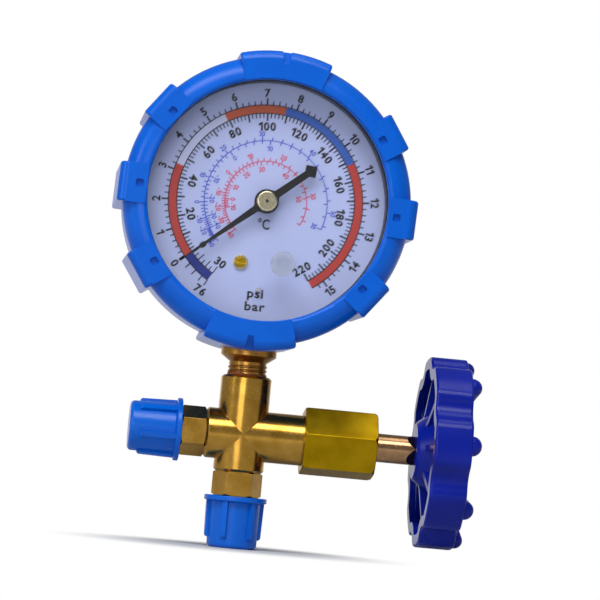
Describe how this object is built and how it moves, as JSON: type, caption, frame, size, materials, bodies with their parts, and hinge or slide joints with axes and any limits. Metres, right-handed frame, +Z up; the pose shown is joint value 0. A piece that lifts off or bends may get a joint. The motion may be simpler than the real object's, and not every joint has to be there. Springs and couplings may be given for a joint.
{
  "type": "refrigerant manifold gauge",
  "caption": "Dial pressure gauge in a lugged rubber boot on a brass cross valve with capped flare ports and a lobed handwheel.",
  "frame": {"origin": "centre of the lower flare port's end face, inside its dust cap", "axes": "+Z up along the gauge's neck, +X along the valve stem towards the handwheel, the dial faces -Y"},
  "size_m": [0.105, 0.0532, 0.1367],
  "materials": {
    "boot_rubber": "semi-gloss",
    "cap_plastic": "semi-gloss",
    "wheel_plastic": "semi-gloss",
    "forged_brass": "polished",
    "nut_brass": "lacquered",
    "socket_brass": "machined",
    "stem_steel": "yellow zinc plated",
    "case_steel": "satin",
    "dial_white": "matt",
    "spacer_plastic": "matt",
    "lens_clear": "clear polycarbonate",
    "plug_clear": "clear soft plastic",
    "gasket_rubber": "matt",
    "pointer_black": "matt",
    "small_brass": "turned",
    "bourdon_bronze": "drawn",
    "steel": "turned",
    "spring_bronze": "rolled",
    "ptfe": "matt"
  },
  "bodies": {
    "gauge_and_valve": {"protective_boot": "boot_rubber", "gauge_case": "case_steel", "dial_spacer": "spacer_plastic", "lens_gasket": "gasket_rubber", "lens": "lens_clear", "vent_plug": "gasket_rubber", "case_screws": "steel", "dial_face": "dial_white", "stop_pin": "steel", "zero_screw_bush": "small_brass", "gauge_socket": "socket_brass", "bourdon_tube": "bourdon_bronze", "movement_rear_plate": "small_brass", "movement_front_plate": "small_brass", "movement_pillars": "small_brass", "movement_plate_screws": "steel", "movement_foot_screws": "steel", "hairspring": "spring_bronze", "hairspring_stud": "small_brass", "valve_body": "forged_brass", "left_port_nipple": "forged_brass", "bottom_port_nipple": "forged_brass", "bonnet_nut": "nut_brass", "gland_washer": "small_brass", "stem_packing": "ptfe", "packing_gland": "small_brass"},
    "valve_seat": {"seat_disc": "ptfe"},
    "stem_and_handwheel": {"valve_stem": "stem_steel", "stem_o_ring": "gasket_rubber", "handwheel": "wheel_plastic", "wheel_washer": "steel", "wheel_screw": "steel"},
    "pointer_and_pinion": {"pinion_arbor": "steel", "pointer": "pointer_black", "pointer_cap": "small_brass"},
    "sector": {"sector_gear": "small_brass", "sector_arbor": "steel", "sector_link_pin": "steel"},
    "movement_link": {"link": "small_brass"},
    "bourdon_tip": {"tube_tip": "small_brass", "tip_link_pin": "steel"},
    "zero_adjuster": {"zero_screw": "small_brass"},
    "lens_access_plug": {"lens_plug": "plug_clear"},
    "left_dust_cap": {"left_port_cap": "cap_plastic"},
    "bottom_dust_cap": {"bottom_port_cap": "cap_plastic"}
  },
  "joints": [
    {"name": "seat_travel", "type": "slide", "parent": "gauge_and_valve", "child": "valve_seat", "axis": [1, 0, 0], "range_m": [0, 0.00313]},
    {"name": "handwheel_turn", "type": "hinge", "parent": "valve_seat", "child": "stem_and_handwheel", "pos_m": [0, 0, 0.0294], "axis": [1, 0, 0], "range_deg": [0, 900]},
    {"name": "sector_swing", "type": "hinge", "parent": "gauge_and_valve", "child": "sector", "pos_m": [-0.00267, 0, 0.07955], "axis": [0, -1, 0], "range_deg": [-2.38, 34.5], "stiffness_Nm_per_rad": 0.01, "deforming": ["hairspring"]},
    {"name": "pointer_turn", "type": "hinge", "parent": "gauge_and_valve", "child": "pointer_and_pinion", "pos_m": [0, 0, 0.0937], "axis": [0, 1, 0], "range_deg": [-19, 276]},
    {"name": "link_swing", "type": "hinge", "parent": "sector", "child": "movement_link", "pos_m": [-0.00014, 0, 0.07411], "axis": [0, -1, 0], "range_deg": [-33.7, 2.32]},
    {"name": "tube_tip_swing", "type": "hinge", "parent": "gauge_and_valve", "child": "bourdon_tip", "pos_m": [-0.00109, 0, 0.09763], "axis": [0, -1, 0], "range_deg": [-0.55, 8.05], "deforming": ["bourdon_tube"]},
    {"name": "zero_screw_turn", "type": "hinge", "parent": "gauge_and_valve", "child": "zero_adjuster", "pos_m": [-0.00547, 0, 0.07655], "axis": [0, 1, 0], "range_deg": [-180, 180]},
    {"name": "lens_plug_pull", "type": "slide", "parent": "gauge_and_valve", "child": "lens_access_plug", "axis": [0, -1, 0], "range_m": [0, 0.006]},
    {"name": "left_cap_pull", "type": "slide", "parent": "gauge_and_valve", "child": "left_dust_cap", "axis": [-1, 0, 0], "range_m": [0, 0.016]},
    {"name": "bottom_cap_pull", "type": "slide", "parent": "gauge_and_valve", "child": "bottom_dust_cap", "axis": [0, 0, -1], "range_m": [0, 0.016]}
  ],
  "couplings": [
    {"joint": "handwheel_turn", "follows": "seat_travel", "rad_per_m": 5026.5},
    {"joint": "pointer_turn", "follows": "sector_swing", "ratio": 8},
    {"joint": "link_swing", "follows": "sector_swing", "ratio": -0.9769},
    {"joint": "tube_tip_swing", "follows": "sector_swing", "ratio": 0.2333}
  ]
}
